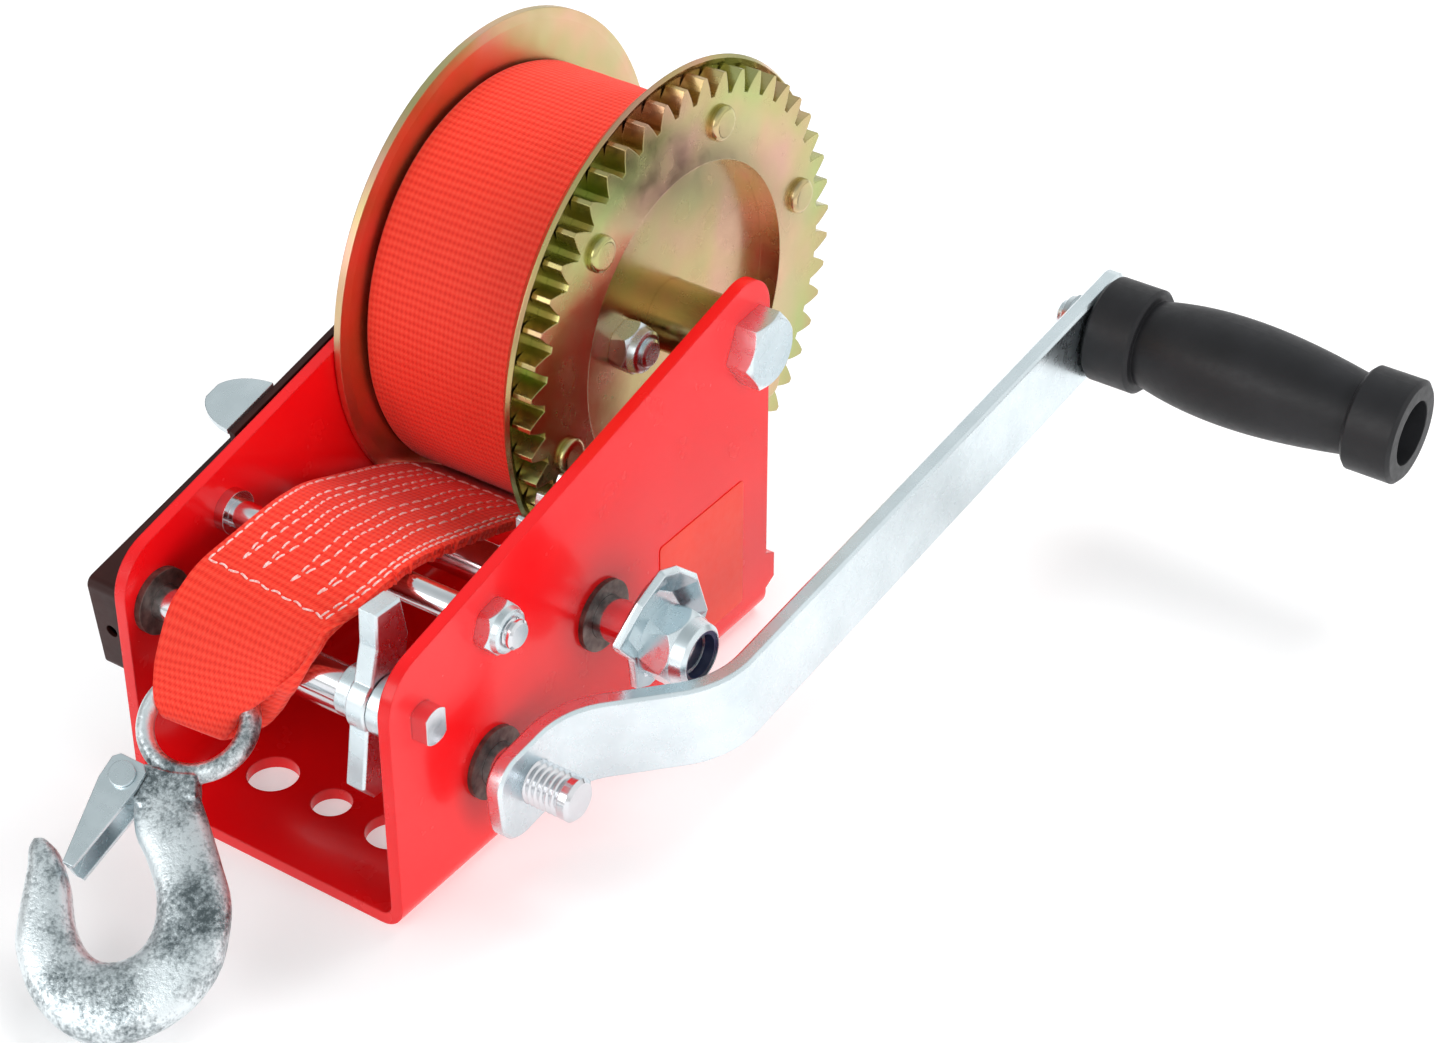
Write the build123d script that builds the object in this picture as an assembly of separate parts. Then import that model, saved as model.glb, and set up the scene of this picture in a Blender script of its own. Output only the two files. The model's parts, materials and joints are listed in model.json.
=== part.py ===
"""Hand winch with two speeds, a webbing strap and a safety hook.

Millimetres. +X points out of the crank side, -Y to the strap side and +Z up.
The origin is on the underside of the base, in the middle of its bolt pattern.
"""
from build123d import *
from math import acos, atan2, cos, degrees, pi, radians, sin, tan
import os

# Frame: one bent U of plate
WIDTH = 88.0
PLATE = 3.5
BEND_R = 7.0
FRONT = -70.0
REAR = 91.5
TOP_SLOPE = 0.246
TOP_AT_FRONT = 76.3
LIP = 4.0
LIP_Z = (8.0, 20.0)
BOLT_X = 20.0
BOLT_Y = 45.0
BOLT_R = 7.0
CENTRE_HOLE_R = 5.5
INNER_HOLE_Y = 23.0

OUTER = WIDTH / 2
INNER = OUTER - PLATE

# Gear train: module and teeth set every shaft centre
MODULE = 2.7
PRESSURE = radians(25)
BACKLASH = 0.3
DRUM_TEETH = 49
HIGH_TEETH = 12
LOW_GEAR_TEETH = 25
LOW_TEETH = 12
GEAR_T = 6.5
LOW_GEAR_X = (29.3, 35.3)
LOW_PINION_X = (26.2, 36.2)
SHAFT_LEFT = -48.0
WINDOWS = 5
WINDOW_CIRCLE = 24.7
WINDOW_R = 4.5

DRUM = (82.0, 94.0)
TO_HIGH = radians(215)
TO_LOW = radians(200)
TIE = (-30.3, 71.9)
PAWL = (-58.4, 60.4)


def polar(centre, radius, angle):
    return (centre[0] + radius * cos(angle), centre[1] + radius * sin(angle))


HIGH = polar(DRUM, MODULE * (DRUM_TEETH + HIGH_TEETH) / 2, TO_HIGH)
LOW = polar(HIGH, MODULE * (LOW_GEAR_TEETH + LOW_TEETH) / 2, TO_LOW)

# Metric bolts: radius, thread pitch, nut width across flats
M8_R = 4.0
M8_PITCH = 1.25
M8_NUT = 13.0
M12_R = 6.0
M12_PITCH = 1.75
M12_NUT = 19.0

# Shafts
SHAFT_R = M12_R
SHAFT_FLATS = 4.6
RUNNING = 0.06
BUSH_R = 8.0
BUSH_FLANGE_R = 10.0
BUSH_FLANGE_T = 1.5
AXLE_HEAD_T = 7.5
AXLE_END = -56.5
HIGH_SEAT_X = 57.5
HIGH_THREAD_X = 62.5
HIGH_END = 72.4

# Tie rod under the strap
TIE_R = M8_R
TIE_SHOULDER_R = 6.0
TIE_NUT_T = 6.5
TIE_END = 53.0

# Pawl, which works on the pinion of the crank's shaft, and its own shaft
PAWL_SHAFT_R = 5.0
PAWL_FLATS = 3.6
PAWL_STUB = 48.8
PAWL_BUSH_R = 7.0
PAWL_X = (27.0, 33.0)
PAWL_GAP = 0.3
CLAW_REACH = 26.0
CLAW_ENGAGED = radians(12.5)
PAWL_THROW = radians(19.5)

# Gear guard and thumb lever on the left
GUARD_T = 1.2
GUARD_X = -54.5
GUARD_SCREWS = ((48.0, 16.0), (-56.0, 44.0))
SCREW_R = 2.0
SCREW_HEAD_R = 4.0
SCREW_HEAD_T = 1.8
LEVER_PIVOT = (40.0, 99.0)
LEVER_PIN_R = 3.0
LEVER_T = 2.0
LEVER_X = -47.2
LEVER_L = 62.0
LEVER_W = 8.0
LEVER_SLOPE = atan2(29, 123)
TAB_Y = -12.0
TAB_Z = 89.5
TAB_REACH = 13.0
TAB_W = 19.0
TAB_T = 1.8

WING_T = 2.4
LOCK_NUT_T = 13.3
NYLON_X = (3.4, 0.5)
NYLON_R = 7.6
NYLON_LIP_R = 7.2

# Drum
FLANGE_T = 2.5
LEFT_FLANGE_X = -40.0
RIGHT_FLANGE_X = 15.0
LEFT_FLANGE_R = 69.0
RIGHT_FLANGE_R = 71.4
ROLLED_EDGE = 1.3
BARREL_R = 32.0
BARREL_T = 2.5
DISH_DEPTH = 6.0
HUB_R = 10.0
HUB_GAP = 0.5
GEAR_X = RIGHT_FLANGE_X + FLANGE_T
GEAR_HOLE_R = 44.5
RIVET_R = 3.0
RIVET_CIRCLE = 55.0
RIVET_COUNT = 6
RIVET_FIRST = radians(14)
ANCHOR_OFFSET = (-20.0, 0.9)
ANCHOR_R = M8_R
ANCHOR_HEAD = 12.0
ANCHOR_HEAD_T = 4.5

# Strap
WEB_W = 50.0
WEB_T = 1.2
ROLL_R = 60.5
ROLL_X = -36.5
SLACK = 0.4
TAIL_X = (-34.5, 14.5)
LOOP_X = -16.6
LOOP_W = 7.0

# Crank
CRANK_W = 26.0
CRANK_T = 5.0
CRANK_BEND_R = 25.0
CRANK_ANGLE = radians(6)
CRANK_R = 234.0
CRANK_HUB_X = 53.0
CRANK_REACH = 30.0
HUB_END = 14.0
HUB_CORNER_R = 8.0
STUD_END = 71.6
GRIP_GAP = 0.6
GRIP_L = 96.0
GRIP_BORE = 4.08
GRIP_BOLT_R = M8_R

# Hook, in its own plane: u runs down the shank and v towards the point
EYE = Vector(-12.5, -76.7, 45.3)
HOOK_U = Vector(0.349, -0.840, -0.533).normalized()
HOOK_V = Vector(-0.923, -0.384, 0).normalized()
EYE_R = 13.0
EYE_BAR = 2.9
HOOK_T = 11.0
NECK_T = 7.6
LATCH_PIVOT = (17.6, 13.6)
LATCH_T = 1.2
LATCH_REACH = 25.5
LATCH_GAP = 0.35
LATCH_RIVET_R = 2.2


def side(x, centre=(0, 0)):
    """Sketch plane across the shafts at x: its own x is +Y and its y is +Z."""
    return Plane.YZ.offset(x) * Pos(centre[0], centre[1])


def slab(x0, x1, face, centre=(0, 0)):
    return extrude(side(x0, centre) * face, amount=x1 - x0)


def rod(x0, x1, radius, centre):
    return slab(x0, x1, Circle(radius), centre)


def tube(x0, x1, outer, inner, centre):
    return slab(x0, x1, Circle(outer) - Circle(inner), centre)


def hexagon(across_flats, angle=0.0):
    return RegularPolygon(across_flats / 2, 6, major_radius=False, rotation=angle)


def turned(points, centre):
    """Solid of revolution about a shaft line from (x, radius) points."""
    profile = Plane.XZ * make_face(Polyline(*points, close=True))
    return Pos(0, centre[0], centre[1]) * revolve(profile, axis=Axis.X)


def threaded(x0, x1, radius, pitch, centre):
    """Threaded end with a chamfered tip at x1, as rings of one pitch."""
    step = pitch if x1 > x0 else -pitch
    depth = 0.6 * pitch
    turns = int(abs(x1 - x0) / pitch) - 1
    points = [(x0, 0), (x0, radius)]
    for turn in range(turns):
        start = x0 + step * turn
        points += [(start + step * 0.5, radius - depth), (start + step, radius)]
    points += [(x1 - step / 2, radius), (x1, radius - depth), (x1, 0)]
    return turned(points, centre)


def double_d(radius, flats):
    return Circle(radius) & Rectangle(2 * flats, 2 * radius)


def involute_gear(teeth, phase, addendum=1.0):
    """Spur gear outline with one tooth centred on the phase angle."""
    pitch_r = MODULE * teeth / 2
    base_r = pitch_r * cos(PRESSURE)
    tip_r = pitch_r + addendum * MODULE
    root_r = pitch_r - 1.25 * MODULE
    half_tooth = pi / (2 * teeth) - BACKLASH / (2 * pitch_r)
    inv_pitch = tan(PRESSURE) - PRESSURE

    def flank(radius):
        press = acos(min(1.0, base_r / radius))
        return half_tooth + inv_pitch - (tan(press) - press)

    start_r = max(base_r, root_r)
    flank_points = 5
    points = []
    for tooth in range(teeth):
        middle = phase + 2 * pi * tooth / teeth
        radii = [start_r + (tip_r - start_r) * i / (flank_points - 1) for i in range(flank_points)]
        rising = [(r, middle - flank(r)) for r in radii]
        falling = [(r, middle + flank(r)) for r in reversed(radii)]
        outline = [(root_r, middle - flank(start_r) * 1.08)] + rising
        outline += falling + [(root_r, middle + flank(start_r) * 1.08)]
        points += [(r * cos(a), r * sin(a)) for r, a in outline]
    return make_face(Polyline(*points, close=True))


# ---------------------------------------------------------------- frame

def plate_outline():
    top_at_rear = TOP_AT_FRONT + TOP_SLOPE * (REAR - FRONT)
    corners = [
        (FRONT, 0), (FRONT, TOP_AT_FRONT), (REAR, top_at_rear),
        (REAR, LIP_Z[1]), (REAR + LIP, LIP_Z[1] - 2), (REAR + LIP, LIP_Z[0] + 2),
        (REAR, LIP_Z[0]), (REAR, 0),
    ]
    face = make_face(Polyline(*corners, close=True))
    front_corner = face.vertices().sort_by_distance((FRONT, TOP_AT_FRONT, 0))[0]
    face = fillet(front_corner, 14)
    apex = face.vertices().sort_by_distance((REAR, top_at_rear, 0))[0]
    return fillet(apex, 11)


def frame():
    height = 120.0
    length = REAR + LIP - FRONT
    shell = Plane.XZ.offset(-FRONT) * make_face(Polyline(
        (-OUTER, 0), (OUTER, 0), (OUTER, height), (-OUTER, height), close=True))
    shell = extrude(shell, amount=-length)
    shell = fillet(shell.edges().filter_by(Axis.Y).sort_by(Axis.Z)[:2], BEND_R)
    room = Plane.XZ.offset(-FRONT) * make_face(Polyline(
        (-INNER, PLATE), (INNER, PLATE), (INNER, height), (-INNER, height), close=True))
    room = extrude(room, amount=-length)
    room = fillet(room.edges().filter_by(Axis.Y).sort_by(Axis.Z)[:2], BEND_R - PLATE)
    body = (shell - room) & slab(-OUTER, OUTER, plate_outline())

    for x in (-BOLT_X, BOLT_X):
        for y in (-BOLT_Y, BOLT_Y):
            body -= Pos(x, y, 0) * Cylinder(BOLT_R, 3 * PLATE)
    for y in (-BOLT_Y, -INNER_HOLE_Y, INNER_HOLE_Y, BOLT_Y):
        body -= Pos(0, y, 0) * Cylinder(CENTRE_HOLE_R, 3 * PLATE)
    for centre in (HIGH, LOW):
        body -= rod(-OUTER, OUTER, BUSH_R, centre)
    body -= rod(-OUTER, OUTER, SHAFT_R, DRUM)
    body -= rod(-OUTER, OUTER, TIE_R, TIE)
    body -= rod(-OUTER, 0, PAWL_BUSH_R, PAWL)
    body -= slab(0, OUTER, double_d(PAWL_SHAFT_R, PAWL_FLATS), PAWL)
    body -= rod(-OUTER, 0, LEVER_PIN_R, LEVER_PIVOT)
    for y, z in GUARD_SCREWS:
        body -= rod(-OUTER, 0, SCREW_R, (y, z))
    return body


def shaft_bushes():
    bushes = []
    for centre in (HIGH, LOW):
        bore = SHAFT_R + RUNNING
        right = tube(INNER, OUTER, BUSH_R, bore, centre)
        right += tube(OUTER, OUTER + BUSH_FLANGE_T, BUSH_FLANGE_R, bore, centre)
        left = tube(-OUTER, -INNER, BUSH_R, bore, centre)
        left += tube(-INNER, -INNER + BUSH_FLANGE_T, BUSH_FLANGE_R, bore, centre)
        bushes += [right, left]
    return Compound(bushes)


# ---------------------------------------------------------------- tie rod and pawl shaft

def tie_rod():
    body = rod(-OUTER, OUTER, TIE_R, TIE)
    body += rod(-INNER, -INNER + 3, TIE_SHOULDER_R, TIE)
    body += rod(INNER - 3, INNER, TIE_SHOULDER_R, TIE)
    return body + threaded(OUTER, TIE_END, TIE_R, M8_PITCH, TIE)


def lock_nut_shape(x0, thickness, across, bore, centre, angle=0.0):
    """Hexagon nut with a chamfered hexagon and a round crimped collar."""
    step = thickness * 0.68
    body = slab(x0, x0 + step, hexagon(across, angle), centre)
    crown = across / 2
    cone = turned([(x0, 0), (x0, crown + 0.5), (x0 + step * 0.8, crown * 1.16),
                   (x0 + step, crown), (x0 + step, 0)], centre)
    body = body & cone
    body += turned([(x0 + step, 0), (x0 + step, crown * 0.98), (x0 + thickness * 0.93, crown * 0.9),
                    (x0 + thickness, crown * 0.78), (x0 + thickness, 0)], centre)
    return body - rod(x0, x0 + thickness, bore, centre)


def tie_rod_nut():
    return lock_nut_shape(OUTER, TIE_NUT_T, M8_NUT, TIE_R, TIE, 10)


def pawl_shaft():
    body = rod(-OUTER - 2, INNER, PAWL_SHAFT_R, PAWL)
    body += slab(INNER, PAWL_STUB, double_d(PAWL_SHAFT_R, PAWL_FLATS), PAWL)
    return body


def pawl_shaft_bush():
    body = tube(-OUTER, -INNER, PAWL_BUSH_R, PAWL_SHAFT_R, PAWL)
    return body + tube(-INNER, -INNER + 2, PAWL_BUSH_R + 2, PAWL_SHAFT_R, PAWL)


def pawl_collars():
    right = tube(PAWL_X[1] + PAWL_GAP, INNER, 8.0, PAWL_SHAFT_R, PAWL)
    left = tube(PAWL_X[0] - PAWL_GAP - 4, PAWL_X[0] - PAWL_GAP, 7.0, PAWL_SHAFT_R, PAWL)
    return Compound([right, left])


# ---------------------------------------------------------------- pawl

def pawl_line():
    """Direction from the pawl shaft to the low-speed shaft."""
    return atan2(LOW[1] - PAWL[1], LOW[0] - PAWL[0])


def claw(sign):
    """One claw of the rocking pawl, drawn along +x and swung to its side."""
    outline = make_face(Polyline(
        (0, -7.5 * sign), (18, -5.0 * sign), (CLAW_REACH + 0.6, -2.2 * sign),
        (CLAW_REACH + 0.4, 1.0 * sign), (CLAW_REACH - 2.6, 0.4 * sign),
        (15, 3.0 * sign), (0, 7.5 * sign), close=True))
    angle = pawl_line() - sign * (CLAW_ENGAGED + PAWL_THROW)
    return Rot(0, 0, degrees(angle)) * outline


def pawl():
    hub = Circle(8.5)
    thumb = make_face(Polyline((-6.5, 0), (-1.5, 17), (-1, 27), (8.5, 26.5), (10.5, 15), (7.5, 2), close=True))
    heel = make_face(Polyline((-6.5, 0), (-10, -21), (-6, -26), (4.5, -26.5), (6, -2), close=True))
    outline = hub + thumb + heel + claw(1) + claw(-1)
    body = slab(PAWL_X[0], PAWL_X[1], outline, PAWL)
    rim = body.edges().filter_by(Axis.X, reverse=True).group_by(Axis.X)
    body = chamfer(rim[0] + rim[-1], 0.6)
    return body - rod(PAWL_X[0], PAWL_X[1], PAWL_SHAFT_R + RUNNING, PAWL)


# ---------------------------------------------------------------- gear guard and lever

def guard_outline(inset):
    corners = [(-69, 67), (54, 94), (54, 26), (42, 8), (-53.5, 8), (-54.5, 34), (-66, 39)]
    face = fillet(make_face(Polyline(*corners, close=True)).vertices(), 2.5)
    return offset(face, amount=-inset, kind=Kind.INTERSECTION) if inset else face


def gear_guard():
    body = slab(GUARD_X, -OUTER, guard_outline(0))
    body -= slab(GUARD_X + GUARD_T, -OUTER, guard_outline(GUARD_T))
    for y, z in GUARD_SCREWS:
        body += rod(GUARD_X + GUARD_T, -OUTER, 2 * SCREW_R, (y, z))
        body -= rod(GUARD_X, -OUTER, SCREW_R, (y, z))
    front_hole = Plane.XZ.offset(60) * (Pos(-49.3, 52) * Circle(1.8))
    return body - extrude(front_hole, amount=20)


def guard_screws():
    screws = []
    for y, z in GUARD_SCREWS:
        screw = rod(GUARD_X, -INNER, SCREW_R, (y, z))
        head = rod(GUARD_X - SCREW_HEAD_T, GUARD_X, SCREW_HEAD_R, (y, z))
        head = fillet(head.edges().group_by(Axis.X)[0], 1.0)
        head -= slab(GUARD_X - SCREW_HEAD_T, GUARD_X - 1.0, Rectangle(1.0, 2 * SCREW_HEAD_R), (y, z))
        screws.append(screw + head)
    return Compound(screws)


def lever_plate():
    bar = Pos(-LEVER_L / 2, -0.5) * Rectangle(LEVER_L, LEVER_W)
    outline = Rot(0, 0, degrees(LEVER_SLOPE)) * (bar + Circle(LEVER_W / 2 + 1))
    body = slab(LEVER_X, LEVER_X + LEVER_T, outline, LEVER_PIVOT)
    return body - rod(LEVER_X, LEVER_X + LEVER_T, LEVER_PIN_R + RUNNING, LEVER_PIVOT)


def lever_thumb_tab():
    """Rounded tab bent outwards from the free end of the lever."""
    outline = Rectangle(TAB_REACH, TAB_W, align=(Align.MAX, Align.CENTER))
    rounded = outline & (Pos(1.5, 0) * Ellipse(TAB_REACH + 2, TAB_W / 2))
    tab = extrude(rounded, amount=TAB_T)
    return Pos(LEVER_X, TAB_Y, TAB_Z) * Rot(degrees(LEVER_SLOPE), 0, 0) * tab


def lever_pivot():
    body = rod(-INNER, LEVER_X - 0.3, LEVER_PIN_R, LEVER_PIVOT)
    body += tube(-OUTER - 0.9, -OUTER, 4.6, LEVER_PIN_R, LEVER_PIVOT)
    return body + rod(LEVER_X - 2.3, LEVER_X - 0.3, 4.6, LEVER_PIVOT)


# ---------------------------------------------------------------- drum

def drum_barrel():
    return tube(LEFT_FLANGE_X + FLANGE_T, RIGHT_FLANGE_X, BARREL_R, BARREL_R - BARREL_T, DRUM)


def flange_disc(x, radius, outward):
    """Pressed disc whose rim is rolled towards its outer side."""
    profile = [(x, HUB_R), (x + FLANGE_T, HUB_R), (x + FLANGE_T, radius - 3)]
    if outward > 0:
        profile += [(x + FLANGE_T + ROLLED_EDGE, radius - 0.8), (x + FLANGE_T + 0.3, radius), (x, radius - 3)]
    else:
        profile += [(x + FLANGE_T - 0.4, radius), (x, radius), (x, radius - 3)]
    return turned(profile, DRUM)


def left_flange():
    x = LEFT_FLANGE_X
    inner_r = BARREL_R - BARREL_T
    body = flange_disc(x, LEFT_FLANGE_R, -1)
    body -= rod(x, x + FLANGE_T, inner_r, DRUM)
    body += tube(x + FLANGE_T, x + DISH_DEPTH, inner_r, inner_r - FLANGE_T, DRUM)
    body += tube(x, x + FLANGE_T, inner_r, inner_r - FLANGE_T, DRUM)
    body += tube(x + DISH_DEPTH, x + DISH_DEPTH + FLANGE_T, inner_r, HUB_R, DRUM)
    return body - rod(x, x + 2 * DISH_DEPTH, ANCHOR_R, anchor_centre())


def right_flange():
    body = flange_disc(RIGHT_FLANGE_X, RIGHT_FLANGE_R, 1)
    for centre in rivet_centres():
        body -= rod(RIGHT_FLANGE_X, RIGHT_FLANGE_X + FLANGE_T, RIVET_R, centre)
    return body - rod(RIGHT_FLANGE_X, RIGHT_FLANGE_X + FLANGE_T, ANCHOR_R, anchor_centre())


def rivet_centres():
    return [polar(DRUM, RIVET_CIRCLE, RIVET_FIRST + 2 * pi * i / RIVET_COUNT) for i in range(RIVET_COUNT)]


def anchor_centre():
    return (DRUM[0] + ANCHOR_OFFSET[0], DRUM[1] + ANCHOR_OFFSET[1])


def drum_gear():
    face = involute_gear(DRUM_TEETH, TO_HIGH) - Circle(GEAR_HOLE_R)
    body = slab(GEAR_X, GEAR_X + GEAR_T, face, DRUM)
    rolled = turned([(GEAR_X, RIGHT_FLANGE_R - 6), (GEAR_X + ROLLED_EDGE + 0.3, RIGHT_FLANGE_R + 2),
                     (GEAR_X, RIGHT_FLANGE_R + 2)], DRUM)
    body -= rolled
    for centre in rivet_centres():
        body -= rod(GEAR_X, GEAR_X + GEAR_T, RIVET_R, centre)
    return body


def gear_rivets():
    rivets = []
    for centre in rivet_centres():
        shank = rod(RIGHT_FLANGE_X, GEAR_X + GEAR_T, RIVET_R, centre)
        head = rod(GEAR_X + GEAR_T, GEAR_X + GEAR_T + 2.2, 5.0, centre)
        rivets.append(shank + fillet(head.edges().group_by(Axis.X)[-1], 1.6))
    return Compound(rivets)


def hub_tube():
    return tube(-INNER + HUB_GAP, INNER - HUB_GAP, HUB_R, SHAFT_R + RUNNING, DRUM)


def strap_anchor_bolt():
    centre = anchor_centre()
    dish = LEFT_FLANGE_X + DISH_DEPTH
    body = rod(dish, GEAR_X, ANCHOR_R, centre)
    body += threaded(GEAR_X, GEAR_X + 9.5, ANCHOR_R, M8_PITCH, centre)
    return body + slab(dish - ANCHOR_HEAD_T, dish, hexagon(ANCHOR_HEAD, 20), centre)


def strap_anchor_nut():
    return lock_nut_shape(GEAR_X, 8.0, M8_NUT, ANCHOR_R, anchor_centre(), 15)


def axle_bolt():
    body = rod(-OUTER, OUTER, SHAFT_R, DRUM)
    body += threaded(-OUTER, AXLE_END, SHAFT_R, M12_PITCH, DRUM)
    end = OUTER + AXLE_HEAD_T
    head = slab(OUTER, end, hexagon(M12_NUT, 5), DRUM)
    crown = turned([(OUTER, 0), (OUTER, 11.5), (end - 1.5, 11.5), (end, 9.3), (end, 0)], DRUM)
    return body + (head & crown)


def axle_nut():
    return lock_nut_shape(-OUTER, -10.5, M12_NUT, SHAFT_R, DRUM, 12)


# ---------------------------------------------------------------- strap

def strap_roll():
    return tube(ROLL_X, ROLL_X + WEB_W, ROLL_R, BARREL_R, DRUM)


def strap_tail():
    """Sewn end of the strap: doubled from the drum to the stitching, then a loop for the hook."""
    start = polar(DRUM, ROLL_R + SLACK + WEB_T, radians(246))
    doubled = Spline(start, (30, 50.6), (5, 64), (-12, 72.6), (-30.3, 77.7), (-45, 77), (-57, 72.3))
    loop = Spline((-56.5, 72.4), (-66.5, 65.5), (-74.4, 55.5), (-75.0, 47.5), (-68.5, 42.0), (-60.8, 45.2),
                  (-59.9, 52.3), (-64.4, 60.0), (-63.4, 66.5), (-57.2, 70.8))
    band = slab(TAIL_X[0], TAIL_X[1], trace(doubled, 2 * WEB_T))
    half = LOOP_W / 2
    taper = Plane.XZ * make_face(Polyline(
        (LOOP_X - half, 36), (LOOP_X + half, 36), (LOOP_X + half, 61),
        (TAIL_X[1], 72), (TAIL_X[1], 80), (TAIL_X[0], 80), (TAIL_X[0], 68), (LOOP_X - half, 61), close=True))
    narrowing = extrude(taper, amount=100)
    for layer in (loop.trim(0, 0.45), loop.trim(0.45, 1)):
        band += slab(TAIL_X[0], TAIL_X[1], trace(layer, WEB_T)) & narrowing
    return band


# ---------------------------------------------------------------- shafts

def high_shaft():
    body = rod(SHAFT_LEFT, HIGH_SEAT_X, SHAFT_R, HIGH)
    body += slab(HIGH_SEAT_X, HIGH_THREAD_X, double_d(SHAFT_R, SHAFT_FLATS), HIGH)
    return body + threaded(HIGH_THREAD_X, HIGH_END, SHAFT_R, M12_PITCH, HIGH)


def low_shaft():
    body = rod(SHAFT_LEFT, CRANK_HUB_X, SHAFT_R, LOW)
    body += slab(CRANK_HUB_X, CRANK_HUB_X + CRANK_T, double_d(SHAFT_R, SHAFT_FLATS), LOW)
    return body + threaded(CRANK_HUB_X + CRANK_T, STUD_END, SHAFT_R, M12_PITCH, LOW)


def meshing_phase(teeth, towards):
    """Phase that puts a gap, not a tooth, on the line towards the other gear."""
    return towards + pi / teeth


def high_pinion():
    face = involute_gear(HIGH_TEETH, meshing_phase(HIGH_TEETH, TO_HIGH + pi)) - Circle(SHAFT_R)
    return slab(GEAR_X + ROLLED_EDGE + 0.4, LOW_GEAR_X[0], face, HIGH)


def low_gear():
    face = involute_gear(LOW_GEAR_TEETH, TO_LOW) - Circle(SHAFT_R)
    for i in range(WINDOWS):
        y, z = polar((0, 0), WINDOW_CIRCLE, 2 * pi * i / WINDOWS)
        face -= Pos(y, z) * Circle(WINDOW_R)
    return slab(LOW_GEAR_X[0], LOW_GEAR_X[1], face, HIGH)


def low_pinion():
    face = involute_gear(LOW_TEETH, meshing_phase(LOW_TEETH, TO_LOW + pi)) - Circle(SHAFT_R)
    return slab(LOW_PINION_X[0], LOW_PINION_X[1], face, LOW)


def wing_plate():
    """Stamped plate on the spare crank seat, its upper wing bent outwards."""
    outline = make_face(Polyline(
        (-15.7, 8.8), (-10.5, 13.7), (0.4, 14.8), (9.6, 14.9), (17.6, 5.2), (20.2, -6.2),
        (10, -8.5), (2, -15), (-6.9, -13.8), (-9.5, -5), close=True))
    outline = fillet(outline.vertices(), 1.2) - double_d(SHAFT_R, SHAFT_FLATS)
    return slab(HIGH_THREAD_X - WING_T, HIGH_THREAD_X, outline, HIGH)


def lock_nut():
    end = HIGH_THREAD_X + LOCK_NUT_T
    body = lock_nut_shape(HIGH_THREAD_X, LOCK_NUT_T, M12_NUT, SHAFT_R, HIGH, 8)
    body -= rod(end - NYLON_X[1], end, NYLON_LIP_R, HIGH)
    return body - rod(end - NYLON_X[0], end - NYLON_X[1], NYLON_R, HIGH)


def lock_nut_insert():
    """Nylon ring held in the collar of the lock nut."""
    end = HIGH_THREAD_X + LOCK_NUT_T
    return tube(end - NYLON_X[0], end - NYLON_X[1], NYLON_R, SHAFT_R, HIGH)


# ---------------------------------------------------------------- crank and grip

def crank_place():
    """Plane of the crank: x runs along the arm and z out of the crank side."""
    along = (0, cos(CRANK_ANGLE), sin(CRANK_ANGLE))
    return Plane(origin=(0, LOW[0], LOW[1]), x_dir=along, z_dir=(1, 0, 0))


def grip_axis():
    return polar(LOW, CRANK_R, CRANK_ANGLE)


def crank_arm():
    place = crank_place()
    mid = CRANK_HUB_X + CRANK_T / 2
    end = CRANK_R + CRANK_W / 2
    path = FilletPolyline((-HUB_END, mid), (15, mid), (43, mid + CRANK_REACH), (end, mid + CRANK_REACH), radius=CRANK_BEND_R)
    ribbon = trace(path, CRANK_T)
    lengthways = Plane(origin=(0, LOW[0], LOW[1]), x_dir=place.x_dir, z_dir=place.x_dir.cross(Vector(1, 0, 0)))
    bar = extrude(lengthways * ribbon, amount=CRANK_W / 2, both=True)
    outline = Pos((end - HUB_END) / 2, 0) * Rectangle(end + HUB_END, CRANK_W)
    outline = fillet(outline.vertices().group_by(Axis.X)[0], HUB_CORNER_R)
    far = outline.vertices().group_by(Axis.X)[-1]
    outline = fillet(far, 5) - double_d_seat()
    outline -= Pos(CRANK_R, 0) * Circle(GRIP_BOLT_R)
    body = bar & extrude(place * outline, amount=120)
    thin = body.edges().filter_by(lambda e: e.length > 60)
    return chamfer(thin, 0.8)


def double_d_seat():
    """The flats stand across Y, whatever the angle of the arm."""
    return Rot(0, 0, -degrees(CRANK_ANGLE)) * double_d(SHAFT_R, SHAFT_FLATS)


def crank_face():
    return CRANK_HUB_X + CRANK_T + CRANK_REACH


def grip_bolt():
    centre = grip_axis()
    start = crank_face()
    end = start + GRIP_GAP + GRIP_L
    body = rod(start - CRANK_T, end - 12, GRIP_BOLT_R, centre)
    body += threaded(start - CRANK_T, start - CRANK_T - 9.0, GRIP_BOLT_R, M8_PITCH, centre)
    body += rod(start, start + GRIP_GAP / 2, 7.0, centre)
    return body + slab(end - 12, end - 6.8, hexagon(M8_NUT, 10), centre)


def grip_nut():
    return lock_nut_shape(crank_face() - CRANK_T, -7.0, M8_NUT, GRIP_BOLT_R, grip_axis(), 25)


def grip():
    """Turned handle: two collars, a swell near the middle and a deep end recess."""
    start = crank_face() + GRIP_GAP
    end = start + GRIP_L
    head_seat = end - 12.3
    upper = Polyline((end, 9.5), (end, 14.0), (end - 1, 15.2), (end - 14, 15.2), (end - 15, 14.2), (end - 15, 11.6))
    waist = Spline((end - 15, 11.6), (start + 50, 15.6), (start + 42, 15.8), (start + 15, 12.6))
    collar = Polyline((start + 15, 12.6), (start + 15, 14.6), (start + 14, 15.6), (start + 1, 15.6), (start, 14.6),
                      (start, GRIP_BORE), (head_seat, GRIP_BORE), (head_seat, 9.5), (end, 9.5))
    profile = Plane.XZ * make_face(upper + waist + collar)
    centre = grip_axis()
    return Pos(0, centre[0], centre[1]) * revolve(profile, axis=Axis.X)


# ---------------------------------------------------------------- hook

def hook_plane():
    return Plane(origin=EYE, x_dir=HOOK_U, z_dir=HOOK_U.cross(HOOK_V))


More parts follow.
